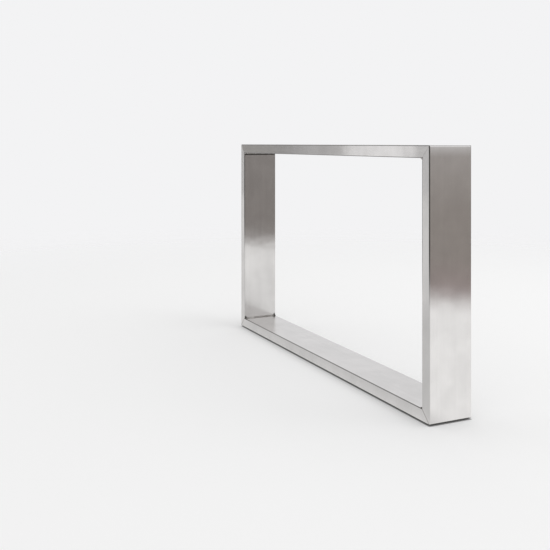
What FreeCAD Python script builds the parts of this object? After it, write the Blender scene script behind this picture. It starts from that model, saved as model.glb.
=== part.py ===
"""Closed rectangular table leg: four lengths of flat rectangular steel tube, mitred and welded into one frame.

Sizes are in millimetres. X runs along the frame's width, Y through its depth and Z up. The origin lies on the
floor, under the middle of the frame. Each tube stands on its narrow side to the eye: its long side is the depth.
The frame stands on four thin glides, which leave a narrow gap between its bottom rail and the floor.
"""

import FreeCAD
import Part
import math
import os

# Outside size of the welded frame, without the glides
FRAME_WIDTH = 750.0
FRAME_HEIGHT = 430.0

# Section of the tube, the same all round, with the crisp edges of a laser welded section
TUBE_DEPTH = 80.0
TUBE_THICKNESS = 20.0
TUBE_WALL = 1.5
TUBE_OUTSIDE_RADIUS = 1.2
TUBE_INSIDE_RADIUS = 0.3

# Outer edges of the four mitres, rounded when the welds there are ground flush
GROUND_RADIUS = 2.5

# Weld bead left in each inside corner, which stops short of the tube's front and back
WELD_LEG = 3.0
WELD_CROWN = 0.3
WELD_FROM_TUBE_SIDE = 4.0

# Four screws go up through the top rail: a clear hole in its upper wall, and a wider one for the driver below it
SCREW_HOLE_DIAMETER = 6.5
DRIVER_HOLE_DIAMETER = 14.0
SCREW_FROM_FRAME_END = 75.0
SCREW_FROM_TUBE_SIDE = 20.0

# Four round glides under the bottom rail
GLIDE_DIAMETER = 24.0
GLIDE_THICKNESS = 2.0
GLIDE_EDGE_RADIUS = 0.6
GLIDE_FROM_FRAME_END = 45.0
GLIDE_FROM_TUBE_SIDE = 20.0

OUTPUT_FOLDER = "parts"

X_AXIS = FreeCAD.Vector(1, 0, 0)
Y_AXIS = FreeCAD.Vector(0, 1, 0)
Z_AXIS = FreeCAD.Vector(0, 0, 1)
ORIGIN = FreeCAD.Vector(0, 0, 0)
ARC_MIDDLE = math.sqrt(0.5)

FRAME_TOP = GLIDE_THICKNESS + FRAME_HEIGHT
FRAME_MIDDLE = GLIDE_THICKNESS + FRAME_HEIGHT / 2


def rounded_rectangle(width, height, radius):
    """Closed wire in the XY plane: a rectangle about the origin with its four corners rounded."""
    corner_x = width / 2 - radius
    corner_y = height / 2 - radius
    quarters = [(1, 1), (-1, 1), (-1, -1), (1, -1)]
    arcs = []
    for turn, (side_x, side_y) in enumerate(quarters):
        centre = FreeCAD.Vector(side_x * corner_x, side_y * corner_y, 0)
        start = FreeCAD.Rotation(Z_AXIS, 90 * turn)
        first, middle, last = (
            centre + start.multVec(FreeCAD.Vector(radius * along, radius * across, 0))
            for along, across in ((1, 0), (ARC_MIDDLE, ARC_MIDDLE), (0, 1))
        )
        arcs.append(Part.Arc(first, middle, last).toShape())
    edges = []
    for arc, following in zip(arcs, arcs[1:] + arcs[:1]):
        edges.append(arc)
        edges.append(Part.LineSegment(arc.lastVertex().Point, following.firstVertex().Point).toShape())
    return Part.Wire(edges)


def tube_blank(length):
    """Straight tube along X, centred on X and Y, with its underside at Z = 0."""
    bore_thickness = TUBE_THICKNESS - 2 * TUBE_WALL
    bore_depth = TUBE_DEPTH - 2 * TUBE_WALL
    outside = rounded_rectangle(TUBE_THICKNESS, TUBE_DEPTH, TUBE_OUTSIDE_RADIUS)
    inside = rounded_rectangle(bore_thickness, bore_depth, TUBE_INSIDE_RADIUS)
    section = Part.Face(outside).cut(Part.Face(inside)).Faces[0]
    section.rotate(ORIGIN, Y_AXIS, 90)
    section.translate(FreeCAD.Vector(-length / 2, 0, TUBE_THICKNESS / 2))
    return section.extrude(X_AXIS * length)


def mitre_envelope(length):
    """Block that a tube is trimmed to: 45 degree ends, with the two long corners rounded by grinding."""
    half = length / 2
    outline = [
        (-half, 0),
        (half, 0),
        (half - TUBE_THICKNESS, TUBE_THICKNESS),
        (TUBE_THICKNESS - half, TUBE_THICKNESS),
    ]
    corners = [FreeCAD.Vector(x, -TUBE_DEPTH / 2, z) for x, z in outline]
    wedge = Part.Face(Part.makePolygon(corners + corners[:1])).extrude(Y_AXIS * TUBE_DEPTH)
    # Only the two lower corners of this outline are used, so its height just has to pass the tube
    ground_height = 2 * (TUBE_THICKNESS + GROUND_RADIUS)
    ground = Part.Face(rounded_rectangle(length, ground_height, GROUND_RADIUS))
    ground.rotate(ORIGIN, X_AXIS, 90)
    ground.translate(FreeCAD.Vector(0, TUBE_DEPTH / 2, ground_height / 2))
    return wedge.common(ground.extrude(-Y_AXIS * TUBE_DEPTH))


def mitred_tube(length):
    """Tube cut to its outer length, lying along X with its outer face down on Z = 0."""
    return tube_blank(length).common(mitre_envelope(length))


def bottom_rail():
    """Rail that lies along the floor, on the glides."""
    rail = mitred_tube(FRAME_WIDTH)
    rail.translate(Z_AXIS * GLIDE_THICKNESS)
    return rail


def upright(side):
    """Upright at the +X side of the frame, or at the -X side where side is -1."""
    tube = mitred_tube(FRAME_HEIGHT)
    tube.rotate(ORIGIN, Y_AXIS, -90 * side)
    tube.translate(FreeCAD.Vector(side * FRAME_WIDTH / 2, 0, FRAME_MIDDLE))
    return tube


def four_places(from_frame_end, from_tube_side):
    """Four places on a rail in plan, each as (x, y), set in alike from its ends and from its sides."""
    along = FRAME_WIDTH / 2 - from_frame_end
    across = TUBE_DEPTH / 2 - from_tube_side
    return [(x, y) for x in (-along, along) for y in (-across, across)]


def top_rail():
    """Rail that the table top rests on, drilled for its screws and for the driver."""
    rail = mitred_tube(FRAME_WIDTH)
    rail.rotate(ORIGIN, X_AXIS, 180)
    rail.translate(Z_AXIS * FRAME_TOP)
    underside = FRAME_TOP - TUBE_THICKNESS
    middle = FRAME_TOP - TUBE_THICKNESS / 2
    for x, y in four_places(SCREW_FROM_FRAME_END, SCREW_FROM_TUBE_SIDE):
        for diameter, start in ((DRIVER_HOLE_DIAMETER, underside), (SCREW_HOLE_DIAMETER, middle)):
            place = FreeCAD.Vector(x, y, start)
            rail = rail.cut(Part.makeCylinder(diameter / 2, TUBE_THICKNESS / 2, place, Z_AXIS))
    return rail


def weld_bead():
    """Bead along Y in the corner between the planes X = 0 and Z = 0, filling the side of both positive axes."""
    half_length = TUBE_DEPTH / 2 - WELD_FROM_TUBE_SIDE
    root = FreeCAD.Vector(0, -half_length, 0)
    floor_toe = root + X_AXIS * WELD_LEG
    wall_toe = root + Z_AXIS * WELD_LEG
    crown = (floor_toe + wall_toe) / 2 + (X_AXIS + Z_AXIS) * (WELD_CROWN * ARC_MIDDLE)
    outline = [
        Part.LineSegment(root, floor_toe).toShape(),
        Part.Arc(floor_toe, crown, wall_toe).toShape(),
        Part.LineSegment(wall_toe, root).toShape(),
    ]
    return Part.Face(Part.Wire(outline)).extrude(Y_AXIS * (2 * half_length))


def corner_welds():
    """The four beads, each turned into its own inside corner of the frame."""
    inside_width = FRAME_WIDTH - 2 * TUBE_THICKNESS
    centre = FreeCAD.Vector(0, 0, FRAME_MIDDLE)
    lower_beads = []
    for side, quarter_turn in ((-1, 0), (1, -90)):
        bead = weld_bead()
        bead.rotate(ORIGIN, Y_AXIS, quarter_turn)
        bead.translate(FreeCAD.Vector(side * inside_width / 2, 0, GLIDE_THICKNESS + TUBE_THICKNESS))
        lower_beads.append(bead)
    upper_beads = [bead.copy().rotate(centre, Y_AXIS, 180) for bead in lower_beads]
    return Part.makeCompound(lower_beads + upper_beads)


def glide():
    """Round pad on the origin, standing on Z = 0, with the edge that slides on the floor rounded."""
    radius = GLIDE_DIAMETER / 2
    flat = radius - GLIDE_EDGE_RADIUS
    centre = FreeCAD.Vector(flat, 0, GLIDE_EDGE_RADIUS)
    corners = {
        "floor_middle": ORIGIN,
        "floor_rim": FreeCAD.Vector(flat, 0, 0),
        "edge": centre + FreeCAD.Vector(ARC_MIDDLE, 0, -ARC_MIDDLE) * GLIDE_EDGE_RADIUS,
        "side": FreeCAD.Vector(radius, 0, GLIDE_EDGE_RADIUS),
        "top_rim": FreeCAD.Vector(radius, 0, GLIDE_THICKNESS),
        "top_middle": FreeCAD.Vector(0, 0, GLIDE_THICKNESS),
    }
    outline = [
        Part.LineSegment(corners["floor_middle"], corners["floor_rim"]).toShape(),
        Part.Arc(corners["floor_rim"], corners["edge"], corners["side"]).toShape(),
        Part.LineSegment(corners["side"], corners["top_rim"]).toShape(),
        Part.LineSegment(corners["top_rim"], corners["top_middle"]).toShape(),
        Part.LineSegment(corners["top_middle"], corners["floor_middle"]).toShape(),
    ]
    return Part.Face(Part.Wire(outline)).revolve(ORIGIN, Z_AXIS, 360)


def floor_glides():
    """The four glides, stuck to the underside of the bottom rail."""
    glides = []
    for x, y in four_places(GLIDE_FROM_FRAME_END, GLIDE_FROM_TUBE_SIDE):
        pad = glide()
        pad.translate(FreeCAD.Vector(x, y, 0))
        glides.append(pad)
    return Part.makeCompound(glides)


def main():
    """Builds the tubes, their welds and the glides, and writes one STEP file for each node."""
    nodes = {
        "bottom_rail": bottom_rail(),
        "left_upright": upright(-1),
        "right_upright": upright(1),
        "top_rail": top_rail(),
        "corner_welds": corner_welds(),
        "floor_glides": floor_glides(),
    }
    os.makedirs(OUTPUT_FOLDER, exist_ok=True)
    for name, shape in nodes.items():
        shape.exportStep(os.path.join(OUTPUT_FOLDER, name + ".step"))
        print(f"{name}: {len(shape.Solids)} solids, {shape.Volume / 1000:.1f} cm3")


main()
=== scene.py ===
"""Dresses the rectangular tube table leg: brushed stainless tubes, weld beads and glides, in a pale studio.

Everything is in metres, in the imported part's own frame: X along the width, Y through the depth, Z up from
the floor.
"""

import logging
import math
from dataclasses import dataclass, field
from enum import Enum

import bpy
import numpy as np
from mathutils import Matrix, Vector


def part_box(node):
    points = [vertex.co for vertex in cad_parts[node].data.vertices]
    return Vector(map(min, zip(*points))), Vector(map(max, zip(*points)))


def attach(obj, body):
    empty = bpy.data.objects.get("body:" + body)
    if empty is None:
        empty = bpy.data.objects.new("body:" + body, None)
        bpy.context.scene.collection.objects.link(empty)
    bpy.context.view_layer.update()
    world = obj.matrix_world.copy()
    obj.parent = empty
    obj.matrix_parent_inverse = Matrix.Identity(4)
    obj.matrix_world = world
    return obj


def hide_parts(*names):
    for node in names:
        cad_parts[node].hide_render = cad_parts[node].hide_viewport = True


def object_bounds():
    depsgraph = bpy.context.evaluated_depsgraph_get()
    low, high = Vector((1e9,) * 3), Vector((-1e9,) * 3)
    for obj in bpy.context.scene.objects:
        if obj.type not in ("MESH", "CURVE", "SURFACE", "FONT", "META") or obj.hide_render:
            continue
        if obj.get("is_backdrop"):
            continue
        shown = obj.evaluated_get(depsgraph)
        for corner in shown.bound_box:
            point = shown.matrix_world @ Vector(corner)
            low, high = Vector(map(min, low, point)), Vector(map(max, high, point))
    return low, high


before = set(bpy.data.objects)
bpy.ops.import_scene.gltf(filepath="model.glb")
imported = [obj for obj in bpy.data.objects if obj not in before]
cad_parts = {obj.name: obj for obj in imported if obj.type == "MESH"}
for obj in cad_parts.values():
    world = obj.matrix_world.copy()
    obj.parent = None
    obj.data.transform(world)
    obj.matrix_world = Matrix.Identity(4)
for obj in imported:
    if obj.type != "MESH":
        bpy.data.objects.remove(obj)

LOG = logging.getLogger("table_leg")
ROOT_BODY = "root"
MILLIMETRE = 0.001

Colour = tuple[float, float, float]
Triple = tuple[float, float, float]
Span = tuple[float, float]
Socket = bpy.types.NodeSocket
Input = float | Triple | Socket


class Grain(Enum):
    """Which way the brushing runs on a tube: the axis along its length."""

    ALONG_X = "X"
    ALONG_Z = "Z"

    def stretch(self, across: float, along: float) -> Triple:
        """Gives how many marks there are to a metre on each axis.

        Args:
            across: width of one mark, in metres.
            along: length of one mark, in metres.

        Returns:
            Marks to a metre along X, Y and Z.
        """
        sizes = {axis: 1.0 / across for axis in "XYZ"}
        sizes[self.value] = 1.0 / along
        return sizes["X"], sizes["Y"], sizes["Z"]


def even(size: float) -> Triple:
    """Gives how many marks of one size there are to a metre, alike on all axes."""
    return (1.0 / size,) * 3


class NodeBench:
    """Adds nodes to one tree and wires them together."""

    def __init__(self, tree: bpy.types.NodeTree) -> None:
        """Starts from an empty tree.

        Args:
            tree: the tree of a material or of the world.
        """
        self.tree = tree
        tree.nodes.clear()

    def add(self, kind: str, **settings: object) -> bpy.types.Node:
        """Adds one node.

        Args:
            kind: the node's type name in Blender.
            settings: properties of the node.

        Returns:
            The new node.
        """
        node = self.tree.nodes.new(kind)
        for name, value in settings.items():
            setattr(node, name, value)
        return node

    def wire(self, value: Input, socket: Socket) -> None:
        """Links a socket to an input, or writes a plain value on it.

        Args:
            value: a socket to link from, or a number or colour.
            socket: the input that takes it.
        """
        if isinstance(value, bpy.types.NodeSocket):
            self.tree.links.new(value, socket)
        elif isinstance(value, tuple) and socket.type == "RGBA":
            socket.default_value = (*value, 1.0)
        else:
            socket.default_value = value

    def math(self, operation: str, *values: Input) -> Socket:
        """Works out one sum.

        Args:
            operation: Blender's name for it, such as ADD.
            values: its terms.

        Returns:
            The result's socket.
        """
        node = self.add("ShaderNodeMath", operation=operation)
        for value, socket in zip(values, node.inputs):
            self.wire(value, socket)
        return node.outputs[0]

    def vector(self, operation: str, *values: Input) -> Socket:
        """Works out one sum of vectors that gives a number.

        Args:
            operation: Blender's name for it, such as LENGTH.
            values: its terms.

        Returns:
            The result's socket.
        """
        node = self.add("ShaderNodeVectorMath", operation=operation)
        for value, socket in zip(values, node.inputs):
            self.wire(value, socket)
        return node.outputs["Value"]

    def split(self, vector: Socket) -> tuple[Socket, Socket, Socket]:
        """Takes a vector apart.

        Args:
            vector: the vector's socket.

        Returns:
            The sockets of X, Y and Z.
        """
        node = self.add("ShaderNodeSeparateXYZ")
        self.wire(vector, node.inputs[0])
        return node.outputs["X"], node.outputs["Y"], node.outputs["Z"]

    def ramp(self, value: Input, start: float, end: float, low: float = 0.0, high: float = 1.0) -> Socket:
        """Eases from low to high as a value goes from start to end.

        Args:
            value: what is looked at.
            start: where the ease starts.
            end: where it ends.
            low: result at the start.
            high: result at the end.

        Returns:
            The result's socket.
        """
        node = self.add("ShaderNodeMapRange", interpolation_type="SMOOTHSTEP")
        for number, socket in zip((value, start, end, low, high), node.inputs):
            self.wire(number, socket)
        return node.outputs[0]

    def near(self, distance: Input, full: float, gone: float) -> Socket:
        """Masks what is near: 1 up to a distance, and eased to 0 at a further one."""
        return self.ramp(distance, full, gone, 1.0, 0.0)

    def noise(self, vector: Socket, scale: Triple, detail: float) -> Socket:
        """Adds noise that is stretched by its own scale on each axis.

        Args:
            vector: coordinates in metres.
            scale: marks to a metre on each axis.
            detail: how many finer layers it holds.

        Returns:
            The noise's socket, from 0 to 1.
        """
        mapping = self.add("ShaderNodeMapping")
        self.wire(vector, mapping.inputs["Vector"])
        self.wire(scale, mapping.inputs["Scale"])
        node = self.add("ShaderNodeTexNoise")
        self.wire(mapping.outputs["Vector"], node.inputs["Vector"])
        self.wire(1.0, node.inputs["Scale"])
        self.wire(detail, node.inputs["Detail"])
        return node.outputs["Fac"]

    def mix(self, factor: Input, first: Input, second: Input) -> Socket:
        """Mixes two colours.

        Args:
            factor: share of the second.
            first: colour at 0.
            second: colour at 1.

        Returns:
            The mixed colour's socket.
        """
        # Inputs 6 and 7 and output 2 are the colours of this node
        node = self.add("ShaderNodeMix", data_type="RGBA")
        self.wire(factor, node.inputs[0])
        self.wire(first, node.inputs[6])
        self.wire(second, node.inputs[7])
        return node.outputs[2]

    def choose(self, factor: Socket, first: Input, second: Input) -> Socket:
        """Mixes two numbers.

        Args:
            factor: share of the second.
            first: number at 0.
            second: number at 1.

        Returns:
            The mixed number's socket.
        """
        # Inputs 2 and 3 and output 0 are the numbers of this node
        node = self.add("ShaderNodeMix", data_type="FLOAT")
        self.wire(factor, node.inputs[0])
        self.wire(first, node.inputs[2])
        self.wire(second, node.inputs[3])
        return node.outputs[0]

    def blend(self, factor: Input, first: Socket, second: Socket) -> Socket:
        """Mixes two shaders.

        Args:
            factor: share of the second.
            first: shader at 0.
            second: shader at 1.

        Returns:
            The mixed shader's socket.
        """
        node = self.add("ShaderNodeMixShader")
        self.wire(factor, node.inputs["Fac"])
        self.wire(first, node.inputs[1])
        self.wire(second, node.inputs[2])
        return node.outputs[0]

    def bump(self, height: Socket) -> Socket:
        """Turns a height in metres into a normal.

        Args:
            height: the height's socket.

        Returns:
            The normal's socket.
        """
        node = self.add("ShaderNodeBump")
        self.wire(1.0, node.inputs["Strength"])
        self.wire(1.0, node.inputs["Distance"])
        self.wire(height, node.inputs["Height"])
        return node.outputs["Normal"]

    def finish(self, shader: Socket, kind: str = "ShaderNodeOutputMaterial") -> None:
        """Wires the shader to the tree's output."""
        self.wire(shader, self.add(kind).inputs["Surface"])


def new_material(name: str) -> tuple[bpy.types.Material, NodeBench, Socket]:
    """Makes an empty node material.

    Args:
        name: the material's name.

    Returns:
        The material, a bench on its tree, and its object coordinates.
    """
    material = bpy.data.materials.new(name)
    material.use_nodes = True
    bench = NodeBench(material.node_tree)
    return material, bench, bench.add("ShaderNodeTexCoord").outputs["Object"]


def new_piece(name: str, points: np.ndarray, faces: list[list[int]]) -> bpy.types.Object:
    """Makes a mesh at the origin and links it to the scene.

    Args:
        name: the name of the mesh and of the object.
        points: the mesh's points.
        faces: point numbers of each face.

    Returns:
        The object.
    """
    mesh = bpy.data.meshes.new(name)
    mesh.from_pydata(points.tolist(), [], faces)
    piece = bpy.data.objects.new(name, mesh)
    bpy.context.scene.collection.objects.link(piece)
    return piece


@dataclass(frozen=True)
class FrameSize:
    """Outside size of the welded frame, and the thickness of its tube in the frame's own plane."""

    half_width: float
    half_depth: float
    base: float
    top: float
    tube: float

    @classmethod
    def from_nodes(cls) -> "FrameSize":
        """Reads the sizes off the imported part.

        Returns:
            The frame's sizes.
        """
        rail_low, rail_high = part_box("bottom_rail")
        frame_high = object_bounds()[1]
        return cls(frame_high.x, rail_high.y, rail_low.z, frame_high.z, rail_high.z - rail_low.z)


class FramePlaces:
    """Sockets that say where a point of the frame lies, for the marks that the steel carries."""

    half_blend: float = 50 * MILLIMETRE

    def __init__(self, bench: NodeBench, place: Socket, size: FrameSize) -> None:
        """Works out the distances from the frame's outline and from its front or back.

        Args:
            bench: the material's bench.
            place: object coordinates.
            size: the frame.
        """
        x, y, self.height = bench.split(place)
        from_base = bench.math("SUBTRACT", self.height, size.base)
        from_top = bench.math("SUBTRACT", size.top, self.height)
        self.bench = bench
        self.size = size
        self.from_side = bench.math("SUBTRACT", size.half_width, bench.math("ABSOLUTE", x))
        self.from_end = bench.math("MINIMUM", from_base, from_top)
        self.nearer = bench.math("MINIMUM", self.from_side, self.from_end)
        self.further = bench.math("MAXIMUM", self.from_side, self.from_end)
        self.from_front = bench.math("SUBTRACT", size.half_depth, bench.math("ABSOLUTE", y))
        middle = (size.base + size.top) / 2
        self.upper = bench.ramp(self.height, middle - self.half_blend, middle + self.half_blend)
        self.lower = bench.math("SUBTRACT", 1.0, self.upper)

    def from_inside_corner(self, up_share: float = 1.0, along: Input = 0.0) -> Socket:
        """Gives the distance from the nearest inside corner of the frame.

        Args:
            up_share: how much the distance from the rail counts.
            along: distance along the corner that counts as well.

        Returns:
            The distance's socket.
        """
        bench = self.bench
        from_rail = bench.math("SUBTRACT", self.from_end, self.size.tube)
        parts = bench.add("ShaderNodeCombineXYZ")
        bench.wire(bench.math("SUBTRACT", self.from_side, self.size.tube), parts.inputs[0])
        bench.wire(bench.math("MULTIPLY", from_rail, up_share), parts.inputs[1])
        bench.wire(along, parts.inputs[2])
        return bench.vector("LENGTH", parts.outputs[0])


@dataclass(frozen=True)
class BrushedStainless:
    """Satin stainless steel, brushed along each tube, with mitre hairlines and ground outer corners, painted
    shade in its inside corners and painted reflection along its edges.
    """

    # Colour of the steel, which drifts to the shade in soft clouds and long bands
    colour: Colour = (0.795, 0.780, 0.770)
    shade: Colour = (0.722, 0.708, 0.698)
    cloud_size: float = 40 * MILLIMETRE
    band_width: float = 5 * MILLIMETRE
    band_length: float = 260 * MILLIMETRE
    band_share: float = 0.35
    tone_span: Span = (0.4, 0.95)

    # Brushing, and how much its streaks and bands change the gloss
    roughness: float = 0.165
    anisotropy: float = 0.97
    streak_width: float = 0.35 * MILLIMETRE
    streak_length: float = 45 * MILLIMETRE
    streak_depth: float = 0.0012 * MILLIMETRE
    streak_gloss: float = 0.04
    band_gloss: float = 0.03

    # Slow waves in the tube's faces
    wave_size: float = 70 * MILLIMETRE
    wave_depth: float = 0.28 * MILLIMETRE

    # Mitre hairlines, clearer at the lower corners
    seam_colour: Colour = (0.24, 0.215, 0.195)
    seam_width: float = 1.0 * MILLIMETRE
    seam_strength: Span = (0.3, 0.9)

    # Outer faces, ground off towards the corners
    ground_reach: float = 18 * MILLIMETRE
    ground_drop: float = 0.7 * MILLIMETRE
    outer_face: Span = (0.5 * MILLIMETRE, 2 * MILLIMETRE)

    # Painted shade at the welds: a dark band in the upper inside corners, under the top rail, and dark ends
    # in the hollows of the lower ones
    corner_shade_colour: Colour = (0.09, 0.085, 0.08)
    corner_shade_reach: Span = (3.5 * MILLIMETRE, 6 * MILLIMETRE)
    pit_shade_colour: Colour = (0.035, 0.032, 0.030)
    pit_from_front: float = 3.0 * MILLIMETRE
    pit_reach: Span = (1.28 * MILLIMETRE, 4 * MILLIMETRE)
    pit_up_share: float = 0.5
    pit_roughness: float = 0.4
    mark_from_front: Span = (0.4 * MILLIMETRE, 0.9 * MILLIMETRE)

    # Painted reflection: dull lines along the tube's rounded edges, where they mirror the dark room, which
    # fade out down the uprights
    edge_reflection_colour: Colour = (0.19, 0.183, 0.178)
    edge_radius: float = 1.2 * MILLIMETRE
    upright_edge: float = 2.1 * MILLIMETRE
    edge_span: Span = (0.75, 1.1)
    edge_reflection_fade: Span = (0.17, 0.27)

    def material(self, name: str, grain: Grain, size: FrameSize) -> bpy.types.Material:
        """Makes the finish for one direction of brushing.

        Args:
            name: the material's name.
            grain: which way the brushing runs.
            size: the frame that the marks lie on.

        Returns:
            The material.
        """
        material, bench, place = new_material(name)
        places = FramePlaces(bench, place, size)
        streaks = bench.noise(place, grain.stretch(self.streak_width, self.streak_length), detail=2.0)
        bands = bench.noise(place, grain.stretch(self.band_width, self.band_length), detail=3.0)
        waves = bench.noise(place, even(self.wave_size), detail=2.0)
        clouds = bench.noise(place, even(self.cloud_size), detail=3.0)
        pit = self.pit(places)

        tone = bench.math("MULTIPLY_ADD", bands, self.band_share, clouds)
        colour = bench.mix(bench.ramp(tone, *self.tone_span), self.shade, self.colour)
        # Painted reflection along the rounded edges
        colour = bench.mix(self.edge_reflection(places, grain), colour, self.edge_reflection_colour)
        colour = bench.mix(self.seam(places), colour, self.seam_colour)
        # Painted shade in the upper inside corners, under the top rail
        colour = bench.mix(self.corner_shade(places), colour, self.corner_shade_colour)
        # Painted shade in the hollows at the lower weld ends
        colour = bench.mix(pit, colour, self.pit_shade_colour)

        level = self.roughness - (self.streak_gloss + self.band_gloss) / 2
        rough = bench.math("MULTIPLY_ADD", streaks, self.streak_gloss, level)
        rough = bench.math("MULTIPLY_ADD", bands, self.band_gloss, rough)
        rough = bench.math("MULTIPLY_ADD", pit, self.pit_roughness, rough)

        height = bench.math("MULTIPLY", streaks, self.streak_depth)
        height = bench.math("MULTIPLY_ADD", waves, self.wave_depth, height)
        height = bench.math("MULTIPLY_ADD", self.ground(places), -self.ground_drop, height)

        shader = bench.add("ShaderNodeBsdfPrincipled")
        bench.wire(1.0, shader.inputs["Metallic"])
        bench.wire(self.anisotropy, shader.inputs["Anisotropic"])
        bench.wire(colour, shader.inputs["Base Color"])
        bench.wire(rough, shader.inputs["Roughness"])
        bench.wire(bench.bump(height), shader.inputs["Normal"])
        tangent = bench.add("ShaderNodeTangent", direction_type="RADIAL", axis=grain.value)
        bench.wire(tangent.outputs[0], shader.inputs["Tangent"])
        bench.finish(shader.outputs[0])
        return material

    def seam(self, places: FramePlaces) -> Socket:
        """Masks the hairlines, where a point is as far from the frame's side as from its top or bottom.

        Args:
            places: where the point lies.

        Returns:
            The mask's socket.
        """
        bench = places.bench
        apart = bench.math("ABSOLUTE", bench.math("SUBTRACT", places.from_side, places.from_end))
        line = bench.near(apart, 0.0, self.seam_width * math.sqrt(2))
        faint, clear = self.seam_strength
        return bench.math("MULTIPLY", line, bench.math("MULTIPLY_ADD", places.lower, clear - faint, faint))

    def ground(self, places: FramePlaces) -> Socket:
        """Gives the drop of the ground strips, which grows by a square from 0 to 1 at the outer corner.

        Args:
            places: where the point lies.

        Returns:
            The drop's socket.
        """
        bench = places.bench
        rise = bench.math("SUBTRACT", 1.0, bench.math("DIVIDE", places.further, self.ground_reach))
        outer = bench.near(places.nearer, *self.outer_face)
        rise = bench.math("MULTIPLY", bench.math("MAXIMUM", rise, 0.0), outer)
        return bench.math("POWER", rise, 2.0)

    def corner_shade(self, places: FramePlaces) -> Socket:
        """Masks the painted shade in the upper inside corners, under the top rail, which stops short of the
        tube's front and back.

        Args:
            places: where the point lies.

        Returns:
            The mask's socket.
        """
        bench = places.bench
        band = bench.near(places.from_inside_corner(), *self.corner_shade_reach)
        inside = bench.ramp(places.from_front, *self.mark_from_front)
        return bench.math("MULTIPLY", bench.math("MULTIPLY", band, places.upper), inside)

    def pit(self, places: FramePlaces) -> Socket:
        """Masks the painted shade in the hollows at the weld ends in the lower inside corners: tall balls
        near the tube's front and back.

        Args:
            places: where the point lies.

        Returns:
            The mask's socket.
        """
        bench = places.bench
        along = bench.math("SUBTRACT", places.from_front, self.pit_from_front)
        ball = bench.near(places.from_inside_corner(self.pit_up_share, along), *self.pit_reach)
        inside = bench.ramp(places.from_front, *self.mark_from_front)
        return bench.math("MULTIPLY", bench.math("MULTIPLY", ball, inside), places.lower)

    def edge_reflection(self, places: FramePlaces, grain: Grain) -> Socket:
        """Masks the painted reflection on the tube's rounded edges, close to the front or back and to the
        outer or inner face at once.

        Args:
            places: where the point lies.
            grain: the tube's direction. Uprights have a wider line, which comes in with height.

        Returns:
            The mask's socket.
        """
        bench = places.bench
        upright = grain is Grain.ALONG_Z
        width = self.upright_edge if upright else self.edge_radius
        from_inner = bench.math("SUBTRACT", places.size.tube, places.nearer)
        from_face = bench.math("MINIMUM", places.nearer, from_inner)
        full, gone = self.edge_span
        on_front = bench.near(from_face, width * full, width * gone)
        on_face = bench.near(places.from_front, self.edge_radius * full, self.edge_radius * gone)
        line = bench.math("MULTIPLY", on_front, on_face)
        if upright:
            line = bench.math("MULTIPLY", line, bench.ramp(places.height, *self.edge_reflection_fade))
        return line


@dataclass(frozen=True)
class WeldMetal:
    """Bare weld bead: darker and rougher than the tube, with patches of oxide, and painted shade at the ends
    of the lower beads.
    """

    colour: Colour = (0.58, 0.56, 0.54)
    dark: Colour = (0.34, 0.32, 0.305)
    patch_size: float = 14 * MILLIMETRE
    patch_span: Span = (0.35, 0.65)
    speckle_size: float = 1.2 * MILLIMETRE
    speckle_share: float = 0.6
    roughness: float = 0.34
    speckle_gloss: float = 0.2
    # Painted shade in the hollows at the ends of the lower beads
    bead_end_shade_colour: Colour = (0.14, 0.13, 0.122)
    bead_end_shade_span: Span = (33.5 * MILLIMETRE, 36.5 * MILLIMETRE)
    bead_end_shade_heights: Span = (0.1, 0.2)

    def material(self) -> bpy.types.Material:
        """Makes the weld's material.

        Returns:
            The material.
        """
        material, bench, place = new_material("weld_metal_finish")
        _, y, z = bench.split(place)
        speckle = bench.noise(place, even(self.speckle_size), detail=3.0)
        patches = bench.ramp(bench.noise(place, even(self.patch_size), detail=2.0), *self.patch_span)
        dotted = bench.math("MULTIPLY_ADD", speckle, self.speckle_share, self.speckle_share)
        colour = bench.mix(bench.math("MULTIPLY", patches, dotted), self.dark, self.colour)
        # Painted shade at the bead ends, low down only
        at_end = bench.ramp(bench.math("ABSOLUTE", y), *self.bead_end_shade_span)
        bead_end_shade = bench.math("MULTIPLY", at_end, bench.near(z, *self.bead_end_shade_heights))
        level = self.roughness - self.speckle_gloss / 2
        shader = bench.add("ShaderNodeBsdfPrincipled")
        bench.wire(1.0, shader.inputs["Metallic"])
        bench.wire(bench.mix(bead_end_shade, colour, self.bead_end_shade_colour), shader.inputs["Base Color"])
        bench.wire(bench.math("MULTIPLY_ADD", speckle, self.speckle_gloss, level), shader.inputs["Roughness"])
        bench.finish(shader.outputs[0])
        return material


@dataclass(frozen=True)
class GlideRubber:
    """Matt black rubber with a fine moulded grain and a little dust in it."""

    colour: Colour = (0.022, 0.022, 0.023)
    dusty: Colour = (0.055, 0.053, 0.050)
    dust_size: float = 7 * MILLIMETRE
    dust_span: Span = (0.45, 0.75)
    grain_size: float = 0.5 * MILLIMETRE
    grain_depth: float = 0.03 * MILLIMETRE
    roughness: float = 0.78
    grain_gloss: float = 0.2

    def material(self) -> bpy.types.Material:
        """Makes the glides' material.

        Returns:
            The material.
        """
        material, bench, place = new_material("glide_rubber_finish")
        grain = bench.noise(place, even(self.grain_size), detail=3.0)
        dust = bench.ramp(bench.noise(place, even(self.dust_size), detail=4.0), *self.dust_span)
        level = self.roughness - self.grain_gloss / 2
        shader = bench.add("ShaderNodeBsdfPrincipled")
        bench.wire(bench.mix(dust, self.colour, self.dusty), shader.inputs["Base Color"])
        bench.wire(bench.math("MULTIPLY_ADD", grain, self.grain_gloss, level), shader.inputs["Roughness"])
        bench.wire(bench.bump(bench.math("MULTIPLY", grain, self.grain_depth)), shader.inputs["Normal"])
        bench.finish(shader.outputs[0])
        return material


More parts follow.
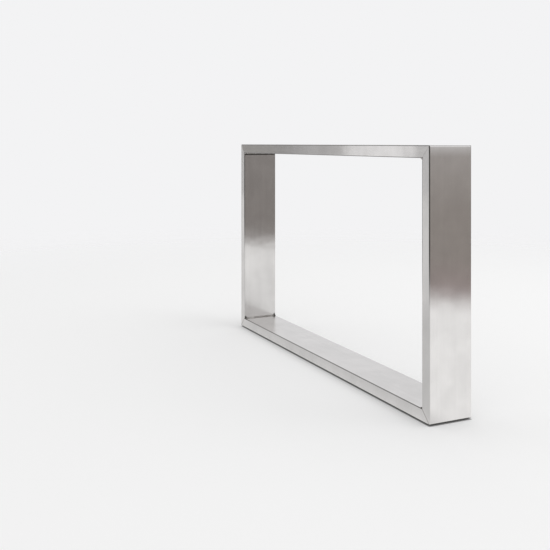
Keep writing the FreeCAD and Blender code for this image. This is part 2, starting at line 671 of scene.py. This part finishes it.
@dataclass
class TubeFrame:
    """The four mitred tubes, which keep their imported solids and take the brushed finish."""

    size: FrameSize
    finish: BrushedStainless = field(default_factory=BrushedStainless)
    rails: tuple[str, ...] = ("top_rail", "bottom_rail")
    uprights: tuple[str, ...] = ("left_upright", "right_upright")

    def dress(self) -> None:
        """Gives the rails a brushing along X and the uprights one along Z."""
        for names, grain in ((self.rails, Grain.ALONG_X), (self.uprights, Grain.ALONG_Z)):
            title = f"brushed_stainless_along_{grain.value.lower()}"
            material = self.finish.material(title, grain, self.size)
            for name in names:
                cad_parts[name].material_slots[0].material = material
                LOG.info("%s is brushed along %s", name, grain.value)


@dataclass
class FloorGlides:
    """The four round glides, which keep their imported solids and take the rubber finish."""

    finish: GlideRubber = field(default_factory=GlideRubber)
    node: str = "floor_glides"

    def dress(self) -> None:
        """Gives the glides their rubber."""
        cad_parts[self.node].material_slots[0].material = self.finish.material()
        LOG.info("%s is black rubber", self.node)


@dataclass
class CornerWelds:
    """The four beads in the inside corners, each a run of overlapping ripples that widens at its ends."""

    size: FrameSize
    finish: WeldMetal = field(default_factory=WeldMetal)
    leg: float = 2.3 * MILLIMETRE
    leg_waver: float = 0.35 * MILLIMETRE
    rail_waves: Span = (1.9, 3.1)
    wall_waves: Span = (2.3, 4.7)
    crown: float = 0.3 * MILLIMETRE
    half_length: float = 39.5 * MILLIMETRE
    end_length: float = 1.4 * MILLIMETRE
    end_gap: float = 1e-3
    rail_flare: float = 5.5 * MILLIMETRE
    wall_flare: float = 1.2 * MILLIMETRE
    flare_length: float = 6.0 * MILLIMETRE
    ripple_pitch: float = 2.2 * MILLIMETRE
    ripple_height: float = 0.14 * MILLIMETRE
    crescent: float = 0.9 * MILLIMETRE
    first_phase: float = 0.4
    phase_step: float = 1.7
    stations: int = 261
    points_across: int = 13
    sharp_angle: float = 40.0
    node: str = "corner_welds"

    def build(self) -> bpy.types.Object:
        """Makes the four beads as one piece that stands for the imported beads.

        Returns:
            The piece.
        """
        points, faces, count = [], [], 0
        for number, (side, end) in enumerate(((-1, -1), (1, -1), (-1, 1), (1, 1))):
            bead = self.bead(self.first_phase + self.phase_step * number)
            points.append(self.in_corner(bead, side, end))
            # In a corner that mirrors the bead, the order of its faces' points turns round
            turn = 1 if side * end > 0 else -1
            for group in self.faces():
                faces.extend((group[:, ::turn] + count).tolist())
            count += len(bead)
        piece = new_piece("weld_beads", np.concatenate(points), faces)
        mesh = piece.data
        mesh.polygons.foreach_set("use_smooth", np.ones(len(mesh.polygons), bool))
        mesh.set_sharp_from_angle(angle=math.radians(self.sharp_angle))
        mesh.materials.append(self.finish.material())
        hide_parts(self.node)
        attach(piece, ROOT_BODY)
        LOG.info("%s has %d faces", piece.name, len(mesh.polygons))
        return piece

    def bead(self, phase: float) -> np.ndarray:
        """Works out one bead in its corner.

        Across the bead the surface is the straight line between its two toes, raised by a parabola for
        the crown and by a sine along the bead for the ripples, which fades to nothing at the toes. The
        ripples lag by the square of the distance from the middle, which bends them into crescents. Each
        leg wavers by a product of two slow waves, and widens by a square over the last stretch before the
        tube's front and back. At both ends everything shrinks to the corner by the root of one less a
        square, so that the ends are round.

        Args:
            phase: where the wavering and the ripples start.

        Returns:
            Points as distances from the upright, from the rail, and along the corner. Each station has
            its points across and then the root, and the two end points come last.
        """
        span = self.half_length * (1.0 - self.end_gap)
        along = np.linspace(-span, span, self.stations)[:, None]
        across = np.linspace(0.0, 1.0, self.points_across)[None, :]
        shrink = np.sqrt(1.0 - self.past(along, self.end_length) ** 2)
        flare = self.past(along, self.flare_length) ** 2
        turn = 2.0 * math.pi * along / self.half_length
        slow, quick = self.rail_waves
        rail_waver = np.sin(slow * turn + phase) * np.cos(quick * turn - phase)
        slow, quick = self.wall_waves
        wall_waver = np.cos(slow * turn - 2.0 * phase) * np.sin(quick * turn + phase)
        rail_leg = self.leg + self.leg_waver * rail_waver + self.rail_flare * flare
        wall_leg = self.leg + self.leg_waver * wall_waver + self.wall_flare * flare
        hump = 4.0 * across * (1.0 - across)
        lag = self.crescent * (1.0 - hump)
        ripple = self.ripple_height * np.sin(2.0 * math.pi * (along - lag) / self.ripple_pitch + phase)
        rise = (self.crown + ripple) * hump * math.sqrt(0.5)
        from_upright = (rail_leg * (1.0 - across) + rise) * shrink
        from_rail = (wall_leg * across + rise) * shrink
        grid = np.stack([from_upright, from_rail, np.broadcast_to(along, from_rail.shape)], axis=2)
        root = np.stack([0.0 * along, 0.0 * along, along], axis=2)
        stations = np.concatenate([grid, root], axis=1).reshape(-1, 3)
        ends = np.array([[0.0, 0.0, -self.half_length], [0.0, 0.0, self.half_length]])
        return np.concatenate([stations, ends])

    def past(self, along: np.ndarray, length: float) -> np.ndarray:
        """Gives how far a place has come into the last stretch of the bead, from 0 to 1 at its end."""
        return np.maximum(np.abs(along) - (self.half_length - length), 0.0) / length

    def faces(self) -> tuple[np.ndarray, np.ndarray]:
        """Lists the faces of one bead.

        Returns:
            The four-cornered faces between the stations, and the triangles that close the two ends.
        """
        ring = self.points_across + 1
        here = np.arange(ring)
        following = (here + 1) % ring
        rows = np.arange(self.stations - 1)[:, None] * ring
        sides = np.stack([rows + here, rows + following, rows + ring + following, rows + ring + here], axis=2)
        tail = (self.stations - 1) * ring
        first = np.full(ring, self.stations * ring)
        front_end = np.stack([following, here, first], axis=1)
        back_end = np.stack([tail + here, tail + following, first + 1], axis=1)
        return sides.reshape(-1, 4), np.concatenate([front_end, back_end])

    def in_corner(self, bead: np.ndarray, side: int, end: int) -> np.ndarray:
        """Puts a bead into one inside corner of the frame.

        Args:
            bead: the bead's points.
            side: 1 for the upright at +X, -1 for the other.
            end: 1 for the top rail, -1 for the bottom rail.

        Returns:
            The points in the frame.
        """
        corner_x = side * (self.size.half_width - self.size.tube)
        corner_z = self.size.top - self.size.tube if end > 0 else self.size.base + self.size.tube
        return np.stack([corner_x - side * bead[:, 0], bead[:, 2], corner_z - end * bead[:, 1]], axis=1)


@dataclass(frozen=True)
class StudioPanel:
    """A soft-edged panel of the studio: a span of headings and heights, in degrees as seen from the leg."""

    azimuth: float
    half_width: float
    low: float
    high: float
    soft: float
    colour: Colour

    def mask(self, bench: NodeBench, look: Socket, height: Socket) -> Socket:
        """Masks the panel.

        Args:
            bench: the world's bench.
            look: the direction looked in.
            height: its angle over the horizon.

        Returns:
            The mask's socket.
        """
        turn, half, low, high, soft = np.radians(
            (self.azimuth, self.half_width, self.low, self.high, self.soft)
        ).tolist()
        ahead = bench.vector("DOT_PRODUCT", look, (math.cos(turn), math.sin(turn), 0.0))
        aside = bench.vector("DOT_PRODUCT", look, (-math.sin(turn), math.cos(turn), 0.0))
        around = bench.math("ABSOLUTE", bench.math("ARCTAN2", aside, ahead))
        wide = bench.near(around, half - soft, half + soft)
        over = bench.ramp(height, low - soft, low + soft)
        under = bench.near(height, high - soft, high + soft)
        return bench.math("MULTIPLY", wide, bench.math("MULTIPLY", over, under))


@dataclass
class Studio:
    """Pale floor, white background and the soft studio that the steel mirrors."""

    background: Colour = (0.896, 0.896, 0.905)
    soft_light: Colour = (0.88, 0.88, 0.88)

    # Heading, half width, foot, head and softness in degrees, and colour. A later panel covers an earlier one
    panels: tuple[StudioPanel, ...] = (
        # Back wall and ceiling, for the upper faces of the rails
        StudioPanel(155, 35, 5, 60, 5, (0.81, 0.81, 0.82)),
        StudioPanel(0, 200, 52, 110, 14, (0.48, 0.48, 0.485)),
        # Right wall in two parts, and the foot of the wall, for the broad faces of the uprights
        StudioPanel(8, 24, -40, 9.8, 7, (0.205, 0.190, 0.183)),
        StudioPanel(60, 32, -40, 4, 11, (0.303, 0.272, 0.249)),
        StudioPanel(40, 16, -40, -9.4, 1.2, (0.325, 0.262, 0.256)),
        # Left wall with its lit and shaded strips, for the narrow front of the frame
        StudioPanel(218, 45, -40, 48, 8, (0.335, 0.325, 0.315)),
        StudioPanel(190.5, 9, -7, 9, 2, (0.95, 0.95, 0.96)),
        StudioPanel(207.6, 1.6, -10, 15, 0.8, (0.46, 0.455, 0.46)),
        StudioPanel(205.6, 0.4, -14, 20, 0.4, (0.2, 0.2, 0.2)),
        StudioPanel(227, 11.5, -14, 25, 1.5, (0.54, 0.54, 0.55)),
        StudioPanel(212.5, 2.4, -25, 50, 0.4, (0.99, 0.99, 1.0)),
        # Camera's side of the room
        StudioPanel(306, 62, -40, 8, 6, (0.25, 0.246, 0.243)),
    )

    # Floor as it is seen, with painted shadow on the strip under the leg, where little light reaches
    floor_seen: Colour = (0.93, 0.93, 0.93)
    floor_painted_shadow: Colour = (0.42, 0.42, 0.42)
    painted_shadow_reach: float = 1.5 * MILLIMETRE
    seen_fade: Span = (0.9, 2.6)

    # Floor as the steel mirrors it, a glow with painted light: a painted pool of light to the right and
    # painted shade in front, ended in an arc and at a line
    floor_right_painted_light: Colour = (1.0, 1.0, 1.0)
    floor_behind: Colour = (0.83, 0.83, 0.83)
    floor_front_painted_shade: Colour = (0.64, 0.64, 0.64)
    floor_left: Colour = (0.75, 0.75, 0.75)
    right_heading: Triple = (1.0, -1.2, 0.0)
    right_fade: Span = (-0.2, 0.4)
    left_fade: Span = (-0.46, -0.38)
    back_fade: Span = (-0.1, 0.03)
    mirrored_reach: float = 3 * MILLIMETRE
    mirrored_fade: Span = (3.24, 3.66)
    front_heading: Triple = (0.588, -0.809, 0.0)
    front_fade: Span = (1.1, 1.45)

    floor_centre: Triple = (-1.13, -1.957, 0.0)
    floor_radius: float = 5.0
    floor_sides: int = 96
    lamp_place: Triple = (0.7, 1.5, 2.7)
    lamp_aim: Triple = (0.0, 0.0, 0.1)
    lamp_side: float = 2.2
    lamp_power: float = 14.0

    def build(self, size: FrameSize) -> None:
        """Makes the world, the floor and the lamp.

        Args:
            size: the frame that stands on the floor.
        """
        self.world()
        self.floor(size)
        self.lamp()
        LOG.info("studio has %d panels", len(self.panels))

    def world(self) -> None:
        """Fills the world: background to the camera, panels on it to the steel, soft light to the rest."""
        world = bpy.data.worlds.new("studio")
        world.use_nodes = True
        bpy.context.scene.world = world
        bench = NodeBench(world.node_tree)
        look = bench.add("ShaderNodeTexCoord").outputs["Generated"]
        height = bench.math("ARCSINE", bench.split(look)[2])
        path = bench.add("ShaderNodeLightPath")
        mirrored = path.outputs["Is Glossy Ray"]
        plain = bench.math("ADD", path.outputs["Is Camera Ray"], path.outputs["Is Transmission Ray"])
        light = bench.mix(bench.math("ADD", plain, mirrored), self.soft_light, self.background)
        for panel in self.panels:
            mask = bench.math("MULTIPLY", panel.mask(bench, look, height), mirrored)
            light = bench.mix(mask, light, panel.colour)
        shader = bench.add("ShaderNodeBackground")
        bench.wire(light, shader.inputs["Color"])
        bench.finish(shader.outputs[0], "ShaderNodeOutputWorld")

    def floor(self, size: FrameSize) -> None:
        """Lays a round floor: points at even angles on a circle about its centre.

        Args:
            size: the frame that stands on it.
        """
        angles = np.arange(self.floor_sides) * (2.0 * math.pi / self.floor_sides)
        rim = np.stack([np.cos(angles), np.sin(angles), np.zeros_like(angles)], axis=1) * self.floor_radius
        floor = new_piece("floor", rim + self.floor_centre, [list(range(self.floor_sides))])
        floor.data.materials.append(self.floor_material(size))
        floor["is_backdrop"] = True

    def floor_material(self, size: FrameSize) -> bpy.types.Material:
        """Paints the floor for the eye, with painted shadow under the leg, and gives the steel a glowing
        floor with painted light and shade to mirror.

        Args:
            size: the frame that stands on it.

        Returns:
            The material.
        """
        material, bench, place = new_material("pale_floor")
        path = bench.add("ShaderNodeLightPath")
        x, y, _ = bench.split(place)
        out_x = bench.math("SUBTRACT", bench.math("ABSOLUTE", x), size.half_width)
        out_y = bench.math("SUBTRACT", bench.math("ABSOLUTE", y), size.half_depth)
        beside = bench.math("ADD", bench.math("MAXIMUM", out_x, 0.0), bench.math("MAXIMUM", out_y, 0.0))
        paint = bench.add("ShaderNodeBsdfDiffuse")
        # Painted shadow on the strip under the leg
        open_floor = bench.ramp(beside, 0.0, self.painted_shadow_reach)
        bench.wire(bench.mix(open_floor, self.floor_painted_shadow, self.floor_seen), paint.inputs["Color"])
        # A glow with painted light and shade, which only the steel sees
        mirrored = bench.add("ShaderNodeEmission")
        bench.wire(self.mirrored_painted_light(bench, place), mirrored.inputs["Color"])
        painted_light_share = bench.ramp(beside, 0.0, self.mirrored_reach)
        painted_light_share = bench.math("MULTIPLY", painted_light_share, path.outputs["Is Glossy Ray"])
        surface = bench.blend(painted_light_share, paint.outputs[0], mirrored.outputs[0])
        clear = bench.add("ShaderNodeBsdfTransparent").outputs[0]
        bench.finish(bench.blend(self.floor_end(bench, place, path), surface, clear))
        return material

    def mirrored_painted_light(self, bench: NodeBench, place: Socket) -> Socket:
        """Works out the painted light of the floor in the steel: a pool of light to the right and shade in
        front.

        Args:
            bench: the floor's bench.
            place: object coordinates.

        Returns:
            The colour's socket.
        """
        x, y, _ = bench.split(place)
        rightward = bench.vector("DOT_PRODUCT", place, self.right_heading)
        behind = bench.mix(bench.ramp(rightward, *self.right_fade), self.floor_behind, self.floor_right_painted_light)
        front = bench.mix(bench.ramp(x, *self.left_fade), self.floor_left, self.floor_front_painted_shade)
        return bench.mix(bench.ramp(y, *self.back_fade), front, behind)

    def floor_end(self, bench: NodeBench, place: Socket, path: bpy.types.Node) -> Socket:
        """Masks where the floor is clear: far off, and to the camera from below as well.

        Args:
            bench: the floor's bench.
            place: object coordinates.
            path: the light path.

        Returns:
            The mask's socket.
        """
        from_centre = bench.vector("DISTANCE", place, self.floor_centre)
        frontward = bench.vector("DOT_PRODUCT", place, self.front_heading)
        arc = bench.ramp(from_centre, *self.mirrored_fade)
        line = bench.ramp(frontward, *self.front_fade)
        far = bench.ramp(bench.vector("LENGTH", place), *self.seen_fade)
        from_below = bench.add("ShaderNodeNewGeometry").outputs["Backfacing"]
        seen = bench.math("MAXIMUM", far, from_below)
        return bench.choose(path.outputs["Is Camera Ray"], bench.math("MAXIMUM", arc, line), seen)

    def lamp(self) -> None:
        """Hangs a soft lamp behind the leg, over its right, which the steel doesn't mirror."""
        light = bpy.data.lights.new("soft_lamp", "AREA")
        light.size = self.lamp_side
        light.energy = self.lamp_power
        lamp = bpy.data.objects.new("soft_lamp", light)
        lamp.visible_glossy = False
        place = Vector(self.lamp_place)
        turn = (Vector(self.lamp_aim) - place).to_track_quat("-Z", "Y")
        lamp.matrix_world = Matrix.Translation(place) @ turn.to_matrix().to_4x4()
        bpy.context.scene.collection.objects.link(lamp)


@dataclass(frozen=True)
class PhotoView:
    """The level camera that the photograph was taken with."""

    place: Triple = (1.3907, -0.7761, 0.4356)
    heading: Triple = (-0.90605, 0.42318, 0.0)
    picture_side: float = 550.0
    focal_pixels: float = 802.95
    horizon_pixel: float = 142.935
    sensor: float = 36.0

    def build(self) -> None:
        """Makes the camera and hands it to the scene."""
        data = bpy.data.cameras.new("photo_view")
        data.sensor_width = self.sensor
        data.lens = self.sensor * self.focal_pixels / self.picture_side
        data.shift_y = (self.horizon_pixel - self.picture_side / 2) / self.picture_side
        camera = bpy.data.objects.new("photo_view", data)
        turn = Vector(self.heading).to_track_quat("-Z", "Y")
        camera.matrix_world = Matrix.Translation(self.place) @ turn.to_matrix().to_4x4()
        bpy.context.scene.collection.objects.link(camera)
        bpy.context.scene.camera = camera


def main() -> None:
    """Builds the studio and the leg."""
    logging.basicConfig(level=logging.INFO, format="%(message)s")
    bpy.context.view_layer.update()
    bpy.context.scene.view_settings.view_transform = "Standard"
    size = FrameSize.from_nodes()
    PhotoView().build()
    Studio().build(size)
    TubeFrame(size).dress()
    CornerWelds(size).build()
    FloorGlides().dress()


if __name__ == "__main__":
    main()
